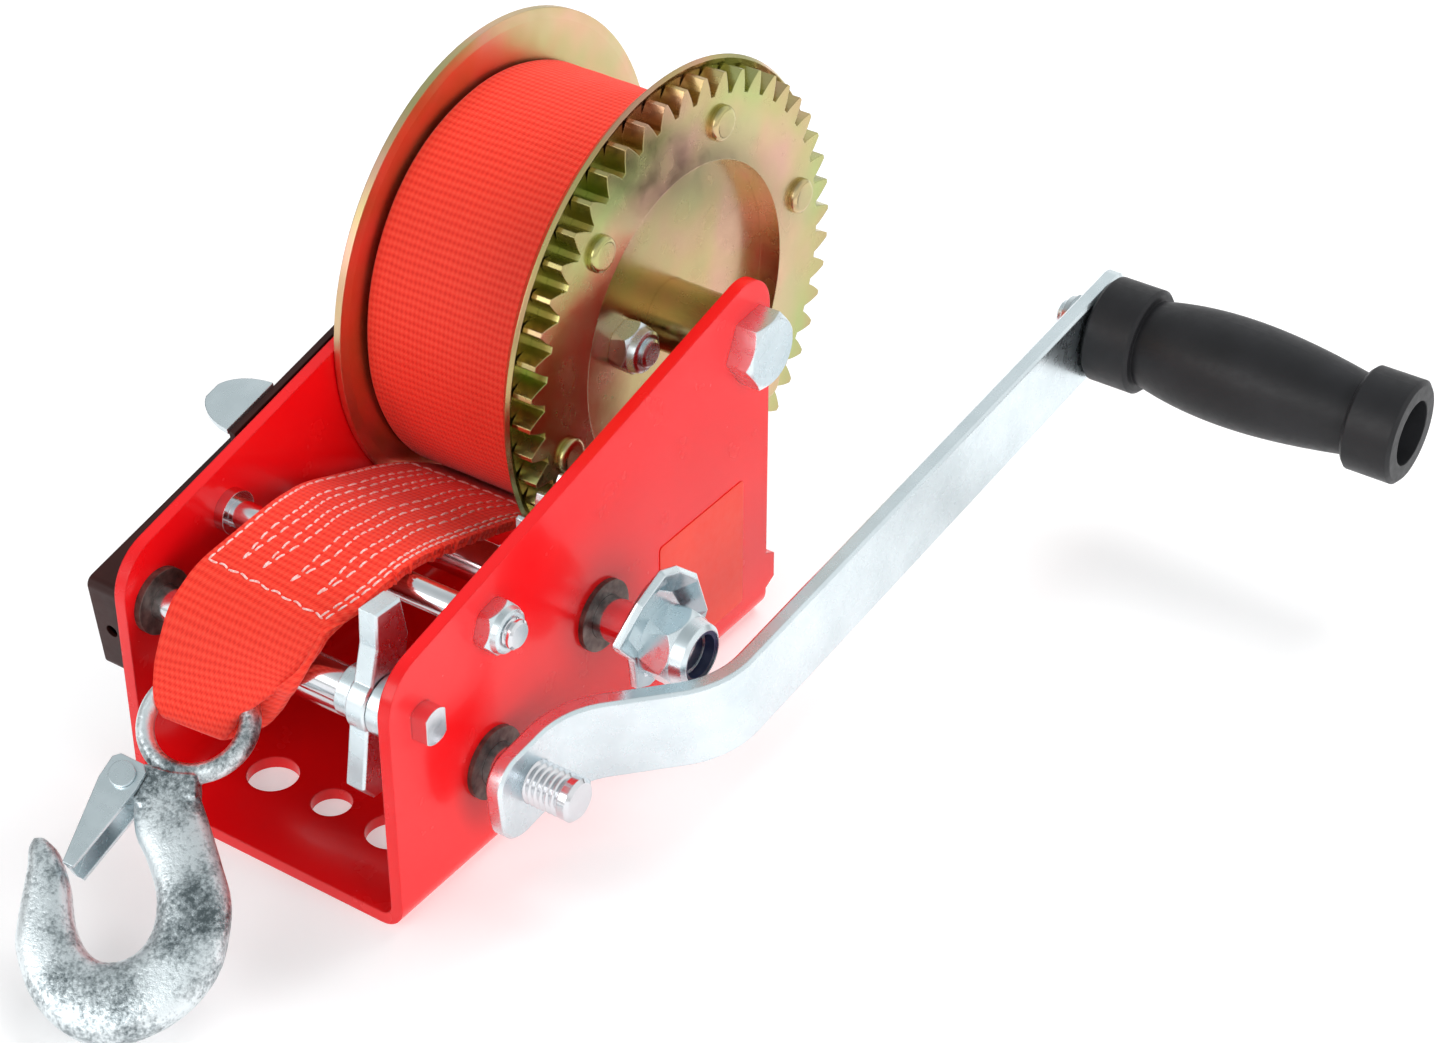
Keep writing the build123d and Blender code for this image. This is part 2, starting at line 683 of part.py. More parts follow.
def hook_body():
    outer = Spline((12, -5.0), (34.6, -14.7), (52.3, -20.9), (69.1, -17.4), (82.0, 2.4), (77, 19.5),
                   (62, 29.8), (44, 32.6), (36.0, 33.0))
    tip = Spline((36.0, 33.0), (34.8, 30.2), (38.5, 26.6))
    inner = Spline((38.5, 26.6), (51.0, 19.8), (59.7, 13.8), (63.0, 6.5), (58.5, -1), (51.5, -2.4), (42.3, 0.4),
                   (30.2, 7.2))
    neck = Polyline((30.2, 7.2), (24, 10.5), (22.5, 17.0), (14.5, 17.5), (11, 9), (12, -5.0))
    shank = extrude(make_face(outer + tip + inner + neck), amount=HOOK_T / 2, both=True)
    faces = shank.faces().filter_by(Plane.XY)
    shank = chamfer(faces.edges(), 2.2)
    half = NECK_T / 2
    flare = make_face(Polyline((0, -half), (26, -half), (44, -HOOK_T), (99, -HOOK_T), (99, HOOK_T),
                               (44, HOOK_T), (26, half), (0, half), close=True))
    shank = shank & extrude(Plane.XZ * flare, amount=60, both=True)
    eye_room = Cylinder(EYE_R - EYE_BAR * 0.6, 2 * HOOK_T)
    body = (shank - eye_room) + Torus(EYE_R, EYE_BAR)
    body -= Pos(*LATCH_PIVOT, 0) * Cylinder(LATCH_RIVET_R, 2 * HOOK_T)
    return hook_plane() * body


def latch_angle():
    """Closed latch: its free end rests inside the point of the hook."""
    return atan2(21.8 - LATCH_PIVOT[1], 43.5 - LATCH_PIVOT[0])


def hook_latch():
    """Sheet-metal channel: two cheeks beside the lug, joined by a back and a nose."""
    inside = NECK_T / 2 + LATCH_GAP
    outline = make_face(Polyline(
        (-4.6, -3.2), (-4.6, 3.4), (-3, 5.0), (3, 5.2), (LATCH_REACH, 1.4), (LATCH_REACH, -1.6),
        (2, -5.0), (-3, -4.8), close=True))
    cheek = extrude(outline, amount=LATCH_T)
    cheek -= Cylinder(LATCH_RIVET_R + RUNNING, 4 * LATCH_T)
    near = Pos(0, 0, inside) * cheek
    far = Pos(0, 0, -inside - LATCH_T) * cheek
    back = make_face(Polyline((9, 4.7), (LATCH_REACH, 1.4), (LATCH_REACH, 0.2), (9, 3.5), close=True))
    bridge = extrude(back, amount=inside, both=True)
    body = near + far + bridge
    return hook_plane() * Pos(*LATCH_PIVOT, 0) * Rot(0, 0, degrees(latch_angle())) * body


def latch_rivet():
    half = NECK_T / 2 + LATCH_GAP + LATCH_T + 0.15
    body = Cylinder(LATCH_RIVET_R, 2 * half)
    for sign in (-1, 1):
        body += Pos(0, 0, sign * (half + 0.5)) * Cylinder(3.4, 1.0)
    return hook_plane() * Pos(*LATCH_PIVOT, 0) * body


# ---------------------------------------------------------------- label

def name_label():
    face = fillet(Rectangle(39, 41).vertices(), 1.5)
    return slab(OUTER, OUTER + 0.25, face, (60.0, 31.5))


PARTS = {
    "frame": frame,
    "shaft_bushes": shaft_bushes,
    "tie_rod": tie_rod,
    "tie_rod_nut": tie_rod_nut,
    "pawl_shaft": pawl_shaft,
    "pawl_shaft_bush": pawl_shaft_bush,
    "pawl_collars": pawl_collars,
    "axle_bolt": axle_bolt,
    "axle_nut": axle_nut,
    "gear_guard": gear_guard,
    "guard_screws": guard_screws,
    "lever_pivot": lever_pivot,
    "strap_tail": strap_tail,
    "name_label": name_label,
    "drum_barrel": drum_barrel,
    "left_flange": left_flange,
    "right_flange": right_flange,
    "drum_gear": drum_gear,
    "gear_rivets": gear_rivets,
    "hub_tube": hub_tube,
    "strap_anchor_bolt": strap_anchor_bolt,
    "strap_anchor_nut": strap_anchor_nut,
    "strap_roll": strap_roll,
    "high_shaft": high_shaft,
    "high_pinion": high_pinion,
    "low_gear": low_gear,
    "wing_plate": wing_plate,
    "lock_nut": lock_nut,
    "lock_nut_insert": lock_nut_insert,
    "low_shaft": low_shaft,
    "low_pinion": low_pinion,
    "crank_arm": crank_arm,
    "grip_bolt": grip_bolt,
    "grip_nut": grip_nut,
    "grip": grip,
    "pawl": pawl,
    "lever_plate": lever_plate,
    "lever_thumb_tab": lever_thumb_tab,
    "hook_body": hook_body,
    "latch_rivet": latch_rivet,
    "hook_latch": hook_latch,
}

os.makedirs("parts", exist_ok=True)
for node, make in PARTS.items():
    export_step(make(), f"parts/{node}.step")
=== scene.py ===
"""Looks for the hand winch: materials, woven strap, forged hook, lights and camera.

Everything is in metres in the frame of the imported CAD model. Shapes drawn here are given in
millimetres and scaled by MM.
"""
import json
import math

import bmesh
import bpy
import numpy as np
from mathutils import Matrix, Vector


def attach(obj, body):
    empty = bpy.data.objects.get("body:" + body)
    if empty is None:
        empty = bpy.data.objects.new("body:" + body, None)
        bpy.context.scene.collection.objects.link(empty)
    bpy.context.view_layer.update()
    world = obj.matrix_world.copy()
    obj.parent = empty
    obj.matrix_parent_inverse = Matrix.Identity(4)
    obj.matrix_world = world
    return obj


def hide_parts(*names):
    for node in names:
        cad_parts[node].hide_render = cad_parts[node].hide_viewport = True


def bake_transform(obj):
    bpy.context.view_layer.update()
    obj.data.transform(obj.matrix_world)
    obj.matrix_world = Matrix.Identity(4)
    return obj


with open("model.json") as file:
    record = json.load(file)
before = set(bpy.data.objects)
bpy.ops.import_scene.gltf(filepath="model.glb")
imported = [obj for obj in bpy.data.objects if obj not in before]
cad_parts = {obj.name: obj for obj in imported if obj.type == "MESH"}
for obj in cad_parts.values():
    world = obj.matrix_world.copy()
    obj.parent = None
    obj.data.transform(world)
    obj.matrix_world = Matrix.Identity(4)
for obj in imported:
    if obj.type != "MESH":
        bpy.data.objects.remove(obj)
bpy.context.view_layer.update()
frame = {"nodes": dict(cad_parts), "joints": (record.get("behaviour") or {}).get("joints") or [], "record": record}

MM = 0.001
NODES = frame["nodes"]
JOINTS = {joint["name"]: joint for joint in frame["joints"]}
DRUM_Y, DRUM_Z = JOINTS["drum_spin"]["pos_m"][1:]


# ---------------------------------------------------------------- shader helpers

def add_node(tree, kind, inputs=None, **settings):
    """Add one shader node; inputs are default values or sockets to link from."""
    node = tree.nodes.new(kind)
    for name, value in settings.items():
        setattr(node, name, value)
    for key, value in (inputs or {}).items():
        if isinstance(value, bpy.types.NodeSocket):
            tree.links.new(value, node.inputs[key])
        else:
            node.inputs[key].default_value = value
    return node


def math_node(tree, operation, first, second=None):
    """Maths on one or two numbers or sockets."""
    inputs = {0: first}
    if second is not None:
        inputs[1] = second
    return add_node(tree, "ShaderNodeMath", inputs, operation=operation).outputs[0]


def noise(tree, vector, scale, detail=3.0, roughness=0.55):
    inputs = {"Vector": vector, "Scale": scale, "Detail": detail, "Roughness": roughness}
    return add_node(tree, "ShaderNodeTexNoise", inputs).outputs["Fac"]


def ramp(tree, factor, stops):
    """Colour ramp from (position, linear rgb) stops."""
    node = add_node(tree, "ShaderNodeValToRGB", {"Fac": factor})
    elements = node.color_ramp.elements
    while len(elements) < len(stops):
        elements.new(0.5)
    for element, (position, color) in zip(elements, stops):
        element.position = position
        element.color = (*color, 1.0)
    return node.outputs["Color"]


def map_range(tree, value, low, high, to_low, to_high):
    inputs = {"Value": value, "From Min": low, "From Max": high, "To Min": to_low, "To Max": to_high}
    return add_node(tree, "ShaderNodeMapRange", inputs).outputs["Result"]


def bump(tree, height, distance, strength=1.0, under=None):
    inputs = {"Height": height, "Distance": distance, "Strength": strength}
    node = add_node(tree, "ShaderNodeBump", inputs)
    if under is not None:
        tree.links.new(under, node.inputs["Normal"])
    return node.outputs["Normal"]


def rounded(tree, radius):
    """Normal that rounds the sharp edges of a carried-over CAD node."""
    return add_node(tree, "ShaderNodeBevel", {"Radius": radius}, samples=4).outputs["Normal"]


def object_place(tree):
    return add_node(tree, "ShaderNodeTexCoord").outputs["Object"]


def start_material(name, **sockets):
    material = bpy.data.materials.new(name)
    material.use_nodes = True
    tree = material.node_tree
    shader = tree.nodes["Principled BSDF"]
    for key, value in sockets.items():
        shader.inputs[key.replace("_", " ")].default_value = value
    return material, tree, shader


def set_color(tree, shader, color):
    tree.links.new(color, shader.inputs["Base Color"])


def set_roughness(tree, shader, value):
    tree.links.new(value, shader.inputs["Roughness"])


def set_normal(tree, shader, value):
    tree.links.new(value, shader.inputs["Normal"])


# ---------------------------------------------------------------- materials

def powder_coat():
    """Glossy red paint with faint orange peel."""
    material, tree, shader = start_material(
        "red_powder_coat", Coat_Weight=0.15, Coat_Roughness=0.08, Specular_IOR_Level=0.35)
    place = object_place(tree)
    drift = noise(tree, place, scale=14.0, detail=2.0)
    reds = [(0.3, (0.84, 0.003, 0.006)), (0.75, (0.92, 0.006, 0.009))]
    set_color(tree, shader, ramp(tree, drift, reds))
    smudges = noise(tree, place, scale=90.0)
    set_roughness(tree, shader, map_range(tree, smudges, 0.2, 0.8, 0.2, 0.3))
    peel = noise(tree, place, scale=240.0, detail=1.0)
    soft_edges = rounded(tree, radius=0.0007)
    set_normal(tree, shader, bump(tree, peel, distance=0.00004, strength=0.2, under=soft_edges))
    return material


def zinc(name, low, high, rough_low, rough_high, grain=0.00003, edge=0.0004):
    """Bright zinc plate: cloudy tint, fine drawn grain and soft edges."""
    material, tree, shader = start_material(name, Metallic=1.0)
    place = object_place(tree)
    cloud = noise(tree, place, scale=60.0, detail=4.0)
    set_color(tree, shader, ramp(tree, cloud, [(0.3, low), (0.7, high)]))
    smudges = noise(tree, place, scale=260.0, detail=4.0)
    set_roughness(tree, shader, map_range(tree, smudges, 0.3, 0.7, rough_low, rough_high))
    drawn = noise(tree, place, scale=320.0, detail=1.0)
    soft_edges = rounded(tree, radius=edge)
    set_normal(tree, shader, bump(tree, drawn, distance=grain, strength=0.2, under=soft_edges))
    return material


def forged_zinc():
    """Plating over a rough forging: dark speckles in the hollows of the grain."""
    material, tree, shader = start_material("forged_zinc", Metallic=1.0)
    place = object_place(tree)
    speckle = noise(tree, place, scale=800.0, detail=5.0, roughness=0.7)
    patches = noise(tree, place, scale=60.0, detail=2.0)
    mixed = math_node(tree, "ADD", math_node(tree, "MULTIPLY", speckle, 0.8), patches)
    greys = [(0.66, (0.14, 0.17, 0.18)), (0.80, (0.46, 0.51, 0.53)), (0.94, (0.86, 0.92, 0.94))]
    set_color(tree, shader, ramp(tree, mixed, greys))
    set_roughness(tree, shader, map_range(tree, patches, 0.3, 0.7, 0.26, 0.42))
    set_normal(tree, shader, bump(tree, speckle, distance=0.00028, strength=0.75))
    return material


# Distance from the axis where the rings of tint end, in metres.
TINT_R = 0.075


def drum_radius(tree, place):
    """Distance from the drum's axis."""
    split = add_node(tree, "ShaderNodeSeparateXYZ", {0: place})
    across = math_node(tree, "SUBTRACT", split.outputs["Y"], DRUM_Y)
    upward = math_node(tree, "SUBTRACT", split.outputs["Z"], DRUM_Z)
    flat = add_node(tree, "ShaderNodeCombineXYZ", {"X": across, "Y": upward}).outputs[0]
    return add_node(tree, "ShaderNodeVectorMath", {0: flat}, operation="LENGTH").outputs["Value"]


def yellow_zinc(name, stops, rough):
    """Iridescent yellow plate: rings of tint about the drum axis, washed over by pink and green."""
    material, tree, shader = start_material(name, Metallic=1.0)
    place = object_place(tree)
    share = map_range(tree, drum_radius(tree, place), 0.0, TINT_R, 0.0, 1.0)
    drift = math_node(tree, "SUBTRACT", noise(tree, place, scale=24.0, detail=3.0), 0.5)
    wander = math_node(tree, "MULTIPLY", drift, 0.40)
    rings = ramp(tree, math_node(tree, "ADD", share, wander), stops)
    tints = [(0.36, (0.74, 0.40, 0.32)), (0.48, (0.60, 0.46, 0.22)), (0.62, (0.44, 0.52, 0.20))]
    wash = ramp(tree, noise(tree, place, scale=33.0, detail=2.0), tints)
    mixed = add_node(tree, "ShaderNodeMix", {0: 0.5, 6: rings, 7: wash}, data_type="RGBA")
    set_color(tree, shader, mixed.outputs[2])
    smudges = noise(tree, place, scale=120.0, detail=4.0)
    set_roughness(tree, shader, map_range(tree, smudges, 0.3, 0.7, rough, rough + 0.1))
    brushed = noise(tree, place, scale=450.0, detail=2.0)
    soft_edges = rounded(tree, radius=0.0004)
    set_normal(tree, shader, bump(tree, brushed, distance=0.00003, strength=0.3, under=soft_edges))
    return material


# Weave: pitches in metres, and each wave's share of the height.
RIB_PITCH = 0.0022
YARN_PITCH = 0.0014
RIB_SHARE = 0.5
YARN_SHARE = 0.28
TWILL_SHARE = 0.22


def wave(tree, turns):
    """Cosine of a number of whole turns."""
    return math_node(tree, "COSINE", math_node(tree, "MULTIPLY", turns, 2 * math.pi))


def weave_height(tree):
    """Soft ribs across the strap, crossed by faint columns of warp yarn."""
    uv = add_node(tree, "ShaderNodeUVMap", uv_map="Weave").outputs["UV"]
    split = add_node(tree, "ShaderNodeSeparateXYZ", {0: uv})
    wander = noise(tree, uv, scale=160.0, detail=2.0)
    column = math_node(tree, "DIVIDE", split.outputs["X"], YARN_PITCH)
    column = math_node(tree, "ADD", column, math_node(tree, "MULTIPLY", wander, 0.5))
    row = math_node(tree, "DIVIDE", split.outputs["Y"], RIB_PITCH)
    row = math_node(tree, "ADD", row, math_node(tree, "MULTIPLY", wander, 0.35))
    slanted_turns = math_node(tree, "MULTIPLY", math_node(tree, "ADD", row, column), 2.0)
    ribs = math_node(tree, "MULTIPLY", wave(tree, row), RIB_SHARE)
    yarns = math_node(tree, "MULTIPLY", wave(tree, column), YARN_SHARE)
    twill = math_node(tree, "MULTIPLY", wave(tree, slanted_turns), TWILL_SHARE)
    total = math_node(tree, "ADD", math_node(tree, "ADD", ribs, yarns), twill)
    return map_range(tree, total, -1.0, 1.0, 0.0, 1.0)


def webbing():
    """Red polyester webbing."""
    material, tree, shader = start_material(
        "webbing", Sheen_Weight=0.12, Sheen_Roughness=0.4, Specular_IOR_Level=0.3, Roughness=0.7)
    weave = math_node(tree, "MULTIPLY", weave_height(tree), 0.75)
    fuzz = math_node(tree, "MULTIPLY", noise(tree, object_place(tree), scale=2200.0, detail=2.0), 0.25)
    tone = math_node(tree, "ADD", weave, fuzz)
    # The weave's height also sets the colour. It is darker in the grooves between ribs, a painted shade, and
    # lighter on the rib tops, a painted highlight; the fuzz adds random tone.
    reds = [(0.05, (0.74, 0.016, 0.008)), (0.45, (0.97, 0.046, 0.024)), (0.95, (1.0, 0.095, 0.052))]
    set_color(tree, shader, ramp(tree, tone, reds))
    set_normal(tree, shader, bump(tree, tone, distance=0.00035, strength=0.8))
    return material


def thread():
    """White polyester thread, tinted pink to red in random patches."""
    material, tree, shader = start_material("stitch_thread", Roughness=0.6, Sheen_Weight=0.2)
    twist = noise(tree, object_place(tree), scale=1500.0, detail=2.0)
    set_color(tree, shader, ramp(tree, twist, [(0.35, (0.93, 0.36, 0.31)), (0.62, (0.95, 0.72, 0.68))]))
    set_normal(tree, shader, bump(tree, twist, distance=0.0001, strength=0.6))
    return material


def satin(name, dark, light, rough, grain, edge, shine=0.5):
    """Moulded, painted or printed surface with a fine grain."""
    material, tree, shader = start_material(name, Specular_IOR_Level=shine)
    place = object_place(tree)
    cloud = noise(tree, place, scale=45.0, detail=4.0)
    set_color(tree, shader, ramp(tree, cloud, [(0.3, dark), (0.7, light)]))
    smudges = noise(tree, place, scale=400.0)
    set_roughness(tree, shader, map_range(tree, smudges, 0.3, 0.7, rough - 0.05, rough + 0.06))
    texture = noise(tree, place, scale=1600.0, detail=2.0)
    soft_edges = rounded(tree, radius=edge)
    set_normal(tree, shader, bump(tree, texture, distance=grain, strength=0.5, under=soft_edges))
    return material


def bush_metal():
    """Brown-grey oiled bush."""
    material, tree, shader = start_material("bearing_bush", Metallic=0.75)
    place = object_place(tree)
    cloud = noise(tree, place, scale=300.0, detail=4.0)
    browns = [(0.3, (0.05, 0.04, 0.035)), (0.7, (0.20, 0.16, 0.14))]
    set_color(tree, shader, ramp(tree, cloud, browns))
    set_roughness(tree, shader, map_range(tree, noise(tree, place, scale=500.0), 0.3, 0.7, 0.3, 0.5))
    pores = noise(tree, place, scale=1200.0)
    soft_edges = rounded(tree, radius=0.0004)
    set_normal(tree, shader, bump(tree, pores, distance=0.00005, strength=0.5, under=soft_edges))
    return material


def white_metals():
    """The zinc and steel finishes, and a darker copy of the zinc that paints shade on the wing plate's sloped
    faces.
    """
    return {
        "zinc_plate": zinc("zinc_plate", (0.68, 0.76, 0.79), (0.80, 0.88, 0.91), 0.24, 0.32),
        # Darker copy of the zinc: painted shade for the wing plate's sloped faces.
        "wing_zinc_painted_shade": zinc("wing_zinc_painted_shade", (0.36, 0.46, 0.50), (0.50, 0.60, 0.64), 0.2, 0.28),
        "bright_steel": zinc(
            "bright_steel", (0.66, 0.67, 0.70), (0.80, 0.81, 0.83), 0.1, 0.18, grain=0.00001, edge=0.0003),
        "forged_zinc": forged_zinc(),
    }


def yellow_metals():
    """The gear's plating, and the left flange's, whose tints lie elsewhere."""
    gear_stops = [
        (0.10, (0.62, 0.38, 0.18)), (0.42, (0.60, 0.42, 0.22)), (0.60, (0.80, 0.44, 0.34)),
        (0.72, (0.66, 0.44, 0.28)), (0.82, (0.46, 0.48, 0.18)), (0.95, (0.44, 0.30, 0.13)),
    ]
    left_stops = [
        (0.30, (0.50, 0.34, 0.16)), (0.62, (0.60, 0.42, 0.22)), (0.80, (0.66, 0.46, 0.26)),
        (0.90, (0.82, 0.48, 0.36)), (1.0, (0.50, 0.48, 0.20)),
    ]
    return {
        "yellow_zinc": yellow_zinc("yellow_zinc", gear_stops, rough=0.20),
        "left_flange_zinc": yellow_zinc("left_flange_zinc", left_stops, rough=0.30),
    }


def plastics():
    """The black cover, the grip, the lock nut's insert and the label."""
    return {
        "black_cover": satin(
            "black_cover", (0.022, 0.005, 0.004), (0.040, 0.010, 0.008),
            rough=0.42, grain=0.00002, edge=0.0004, shine=0.22),
        "grip_plastic": satin(
            "grip_plastic", (0.010, 0.010, 0.011), (0.017, 0.017, 0.019),
            rough=0.46, grain=0.00004, edge=0.0006, shine=0.3),
        "nylon": satin(
            "nylon", (0.010, 0.016, 0.05), (0.02, 0.03, 0.09), rough=0.4, grain=0.00001, edge=0.0002),
        "label_film": satin(
            "label_film", (0.86, 0.035, 0.012), (0.92, 0.05, 0.018),
            rough=0.42, grain=0.00001, edge=0.0002),
    }


def make_materials():
    """One material for each slot of the record, and three that only the looks need."""
    return {
        "red_powder_coat": powder_coat(),
        "webbing": webbing(),
        "thread": thread(),
        "bearing_bush": bush_metal(),
        **white_metals(),
        **yellow_metals(),
        **plastics(),
    }


MATERIALS = make_materials()


def dress_cad_nodes():
    """Give each carried-over node the material of its slot in the record."""
    slots = {part["node"]: part["material_slot"] for part in frame["record"]["subparts"]}
    for name, piece in NODES.items():
        material = MATERIALS[slots[name]]
        if name == "left_flange":
            material = MATERIALS["left_flange_zinc"]
        piece.data.materials.clear()
        piece.data.materials.append(material)


# ---------------------------------------------------------------- mesh helpers

def mesh_object(name, points, faces, material, smooth=True):
    mesh = bpy.data.meshes.new(name)
    mesh.from_pydata([tuple(point) for point in points], [], faces)
    mesh.update()
    mesh.polygons.foreach_set("use_smooth", [smooth] * len(mesh.polygons))
    mesh.materials.append(material)
    piece = bpy.data.objects.new(name, mesh)
    bpy.context.scene.collection.objects.link(piece)
    return piece


def add_weave_uv(piece, uv_of_vertex):
    layer = piece.data.uv_layers.new(name="Weave")
    for loop in piece.data.loops:
        layer.data[loop.index].uv = uv_of_vertex[loop.vertex_index]


def grid_faces(rows, columns, close_rows=False, close_columns=False):
    faces = []
    for row in range(rows if close_rows else rows - 1):
        below = (row + 1) % rows
        for column in range(columns if close_columns else columns - 1):
            right = (column + 1) % columns
            faces.append((row * columns + column, row * columns + right,
                          below * columns + right, below * columns + column))
    return faces


def end_caps(rows, columns):
    """Faces that close both ends of a swept skin."""
    last = (rows - 1) * columns
    return [tuple(range(columns))[::-1], tuple(last + corner for corner in range(columns))]


def catmull(points, samples):
    """Smooth curve through all points; returns samples positions, evenly spaced in index."""
    points = np.array(points, float)
    padded = np.vstack([2 * points[0] - points[1], points, 2 * points[-1] - points[-2]])
    places = np.linspace(0, len(points) - 1, samples)
    result = []
    for place in places:
        start = min(int(place), len(points) - 2)
        t = place - start
        p0, p1, p2, p3 = padded[start:start + 4]
        result.append(0.5 * (2 * p1 + (p2 - p0) * t + (2 * p0 - 5 * p1 + 4 * p2 - p3) * t * t
                             + (3 * p1 - p0 - 3 * p2 + p3) * t ** 3))
    return np.array(result)


def applied(piece):
    """Apply the piece's modifiers and return it with a plain mesh."""
    graph = bpy.context.evaluated_depsgraph_get()
    mesh = bpy.data.meshes.new_from_object(piece.evaluated_get(graph))
    piece.modifiers.clear()
    piece.data = mesh
    return piece


def recalculate(piece):
    """Point all faces outwards."""
    shape = bmesh.new()
    shape.from_mesh(piece.data)
    bmesh.ops.recalc_face_normals(shape, faces=shape.faces)
    shape.to_mesh(piece.data)
    shape.free()


def unit(vector):
    return vector / np.linalg.norm(vector)


# ---------------------------------------------------------------- strap

# Direction of the bar of the hook's ring, seen from above.
BAR_X = 0.923
BAR_Y = 0.384


def slanted(s, f, z):
    """Point by distance along the hook's bar, distance out from it and height."""
    return (s * BAR_X + f * BAR_Y, s * BAR_Y - f * BAR_X, z)


# Left edge and right edge, or right fold, of the strap from the drum round the hook's ring.
OUTER_LAYER = [
    ((-35.0, 56.9, 37.7), (13.4, 56.9, 37.7), 0.0),
    ((-35.0, 49.5, 41.9), (13.4, 49.5, 41.9), 0.0),
    ((-34.8, 40.0, 48.2), (13.5, 40.0, 48.4), 0.2),
    ((-34.5, 29.5, 54.5), (13.6, 29.5, 55.6), 0.4),
    ((-33.6, 17.0, 60.6), (14.0, 17.0, 61.8), 0.6),
    ((-32.8, 5.7, 65.3), (15.0, 4.5, 66.6), 0.6),
    ((-30.5, -12.0, 73.2), (16.8, -11.0, 72.8), 0.5),
    ((-27.8, -23.0, 77.2), (18.0, -22.0, 76.6), 0.2),
    ((-26.3, -32.0, 78.8), (18.8, -32.0, 78.6), 0.1),
    ((-26.1, -45.0, 78.0), (18.0, -45.0, 77.4), 0.3),
    ((-28.2, -54.0, 74.8), (13.8, -56.2, 73.9), 0.5),
]
FRONT_STITCH = 10
LOOP = [
    ((-29.0, -60.5, 71.2), (12.8, -60.6, 70.4), 0.6),
    ((-28.6, -66.8, 67.2), (10.6, -64.6, 65.2), 0.8),
    ((-27.4, -73.6, 58.4), (6.5, -66.6, 60.0), 0.8),
    (slanted(-53.3, 61.5, 54.4), (-0.1, -69.3, 53.2), 0.5),
    (slanted(-52.8, 64.0, 50.4), slanted(-32.6, 64.0, 47.2), 0.3),
    (slanted(-51.6, 64.3, 46.0), slanted(-34.9, 64.0, 42.9), 0.2),
    (slanted(-50.8, 63.0, 43.6), slanted(-36.9, 63.4, 39.4), 0.1),
    (slanted(-50.8, 59.0, 42.6), slanted(-34.6, 59.6, 37.9), 0.2),
    (slanted(-51.2, 54.0, 43.8), (-4.4, -63.5, 40.3), 1.0),
    (slanted(-52.0, 50.5, 48.5), (0.6, -62.0, 47.0), 2.6),
    (slanted(-52.3, 49.8, 54.5), (4.9, -62.6, 54.0), 2.2),
    ((-28.9, -65.2, 60.0), (9.4, -64.3, 60.0), 0.0),
    ((-28.9, -63.2, 65.6), (12.0, -63.2, 65.2), 0.0),
    ((-28.6, -58.5, 70.6), (13.2, -59.8, 70.0), 0.2),
]
UNDER_GAP = 1.35
STRAP_T = 1.2
STRAP_W = 44.5
STRAP_EDGE = 0.3
CURL_R = 1.25
ROW_STEP = 10
ACROSS = 57


def under_layer():
    """The sewn-down end of the strap: the outer layer's stations, one thickness lower."""
    stations = []
    for index in range(FRONT_STITCH, 2, -1):
        left, right, crown = OUTER_LAYER[index]
        before = np.array(OUTER_LAYER[index - 1][0])
        along = unit(np.array(left) - before)
        normal = unit(np.cross(along, unit(np.array(right) - np.array(left))))
        shift = -UNDER_GAP * normal
        stations.append((tuple(np.array(left) + shift), tuple(np.array(right) + shift), crown))
    return stations


def strap_rows(stations):
    """Dense edge curves through the stations: left edge, right edge, crown."""
    samples = (len(stations) - 1) * ROW_STEP + 1
    left = catmull([station[0] for station in stations], samples)
    right = catmull([station[1] for station in stations], samples)
    crown = catmull([[station[2]] for station in stations], samples)[:, 0]
    return left, right, crown


def strap_normals(left, right):
    """Unit normals of the rows, on the strap's outer side."""
    middle = (left + right) / 2
    along = np.gradient(middle, axis=0)
    normals = []
    for direction, edge in zip(along, right - left):
        normals.append(unit(np.cross(unit(direction), unit(edge))))
    return np.array(normals)


def strap_row(left, right, crown, normal):
    """Points and distances across one row: the flat width, a curled fold, then back underneath."""
    edge = right - left
    flat = np.linalg.norm(edge)
    width = edge / flat
    spare = max(0.0, STRAP_W - flat)
    turn = min(spare, math.pi * CURL_R)
    back = min(spare - turn, 0.5 * flat)
    distances = [(flat + turn + back) * column / (ACROSS - 1) for column in range(ACROSS)]
    points = []
    for distance in distances:
        if distance <= flat:
            share = distance / flat
            point = left + edge * share + normal * crown * math.sin(math.pi * share)
        elif distance <= flat + turn:
            angle = (distance - flat) / CURL_R
            point = right + width * CURL_R * math.sin(angle) - normal * CURL_R * (1 - math.cos(angle))
        else:
            point = right - 2 * CURL_R * normal - width * (distance - flat - turn)
        points.append(point * MM)
    return points, distances


def thicken_strap(strap):
    solid = strap.modifiers.new("Thickness", "SOLIDIFY")
    solid.thickness = STRAP_T * MM
    solid.offset = 0.0
    applied(strap)
    soften = strap.modifiers.new("Soft edges", "BEVEL")
    soften.width = STRAP_EDGE * MM
    soften.segments = 2
    soften.limit_method = "ANGLE"
    soften.angle_limit = math.radians(60)
    applied(strap)


def strap_tail():
    """One strip of webbing: over the tie rod, round the ring and back under itself."""
    stations = OUTER_LAYER + LOOP + under_layer()
    left, right, crown = strap_rows(stations)
    normals = strap_normals(left, right)
    steps = np.linalg.norm(np.diff((left + right) / 2, axis=0), axis=1)
    travel = np.concatenate([[0.0], np.cumsum(steps)])
    points = []
    uvs = []
    for row in range(len(left)):
        row_points, distances = strap_row(left[row], right[row], crown[row], normals[row])
        points += row_points
        uvs += [(distance * MM, travel[row] * MM) for distance in distances]
    strap = mesh_object("webbing_strap", points, grid_faces(len(left), ACROSS), MATERIALS["webbing"])
    add_weave_uv(strap, uvs)
    thicken_strap(strap)
    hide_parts("strap_tail")
    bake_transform(strap)
    return strap


# ---------------------------------------------------------------- stitching

